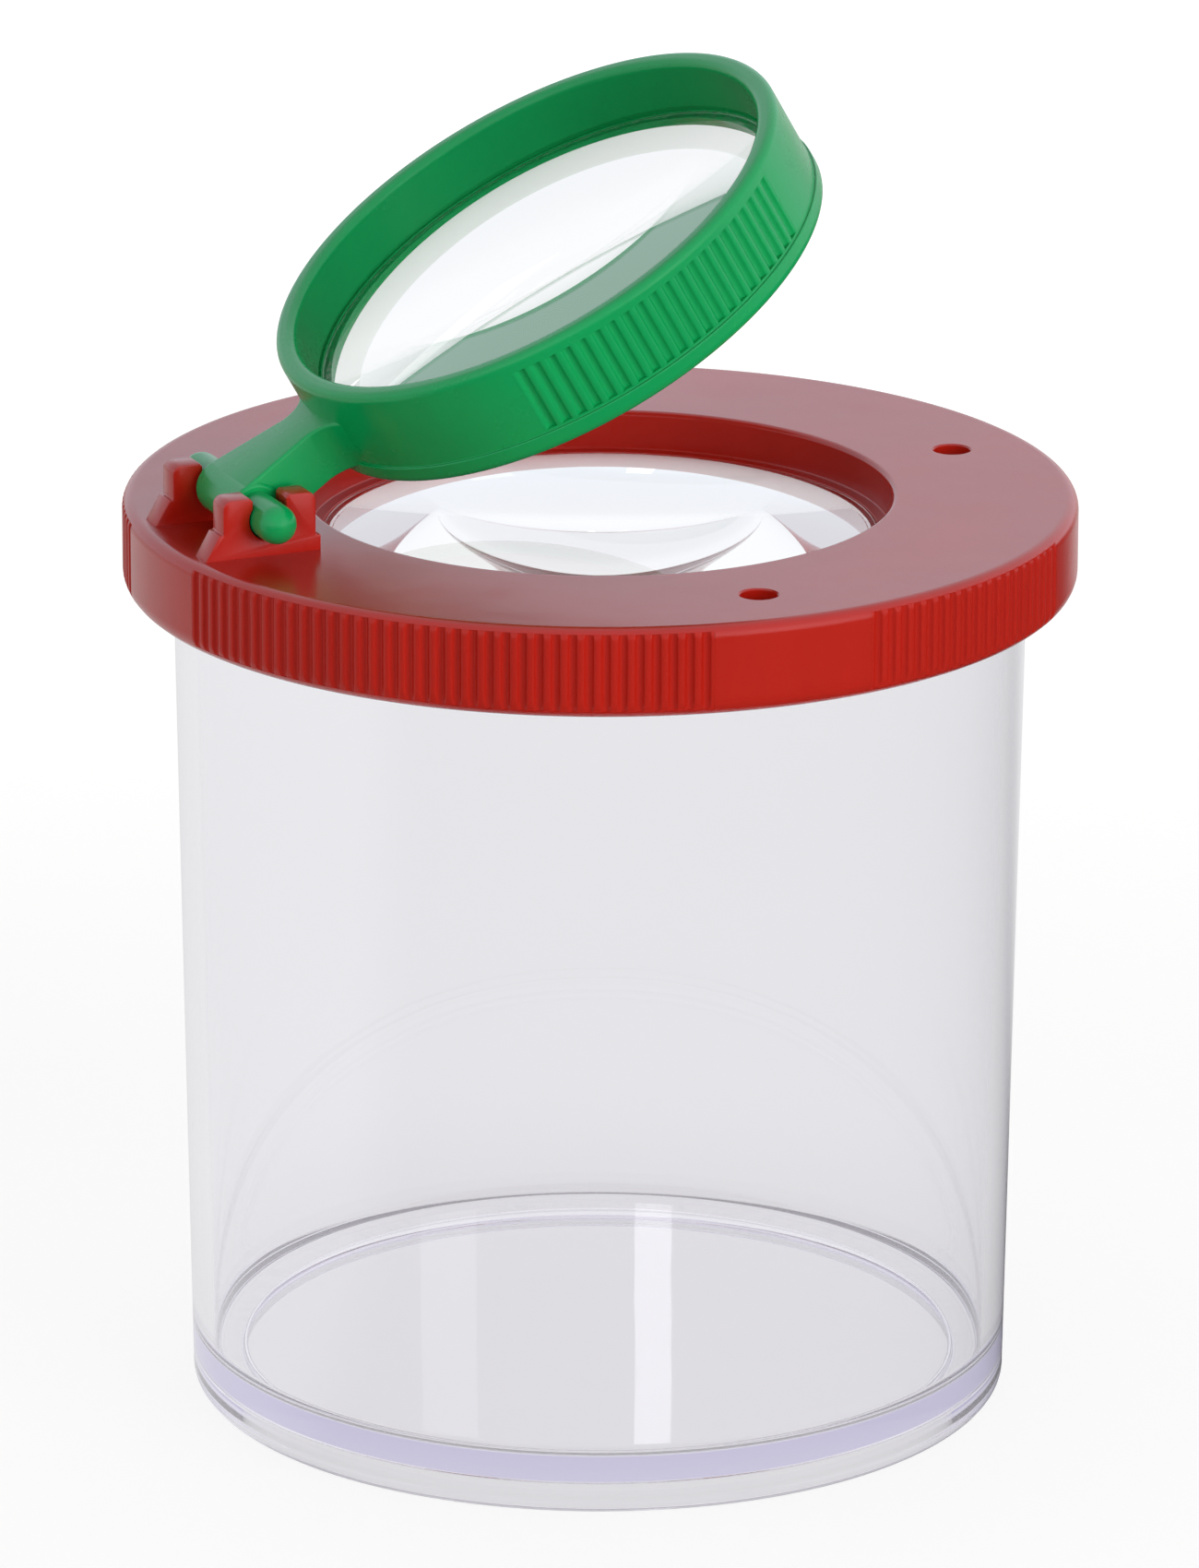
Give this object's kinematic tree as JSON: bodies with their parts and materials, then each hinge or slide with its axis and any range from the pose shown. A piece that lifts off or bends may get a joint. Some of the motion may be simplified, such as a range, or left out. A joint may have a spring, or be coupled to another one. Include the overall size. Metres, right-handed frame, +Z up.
{
  "type": "bug catcher jar",
  "caption": "Clear viewing jar with a lift-off red lid that holds a lens and air holes, and a green flip-up magnifier on a snap hinge.",
  "frame": {"origin": "on the table at the jar's axis", "axes": "+Z up along the jar's axis, +X across the lid from the hinge"},
  "size_m": [0.072, 0.072, 0.1024],
  "materials": {
    "clear_jar": "polished clear polystyrene with a faint lavender tint",
    "red_lid": "glossy moulded red plastic",
    "green_ring": "glossy moulded green plastic",
    "clear_lens": "polished clear lens"
  },
  "bodies": {
    "jar": {"jar": "clear_jar"},
    "lid": {"lid": "red_lid", "lid_lens": "clear_lens"},
    "magnifier": {"magnifier_ring": "green_ring", "magnifier_lens": "clear_lens"}
  },
  "joints": [
    {"name": "lid_lift", "type": "slide", "parent": "jar", "child": "lid", "axis": [0, 0, 1], "range_m": [0, 0.05]},
    {"name": "magnifier_flip", "type": "hinge", "parent": "lid", "child": "magnifier", "pos_m": [-0.0292, 0, 0.07325], "axis": [0, -1, 0], "range_deg": [-30, 145]}
  ]
}
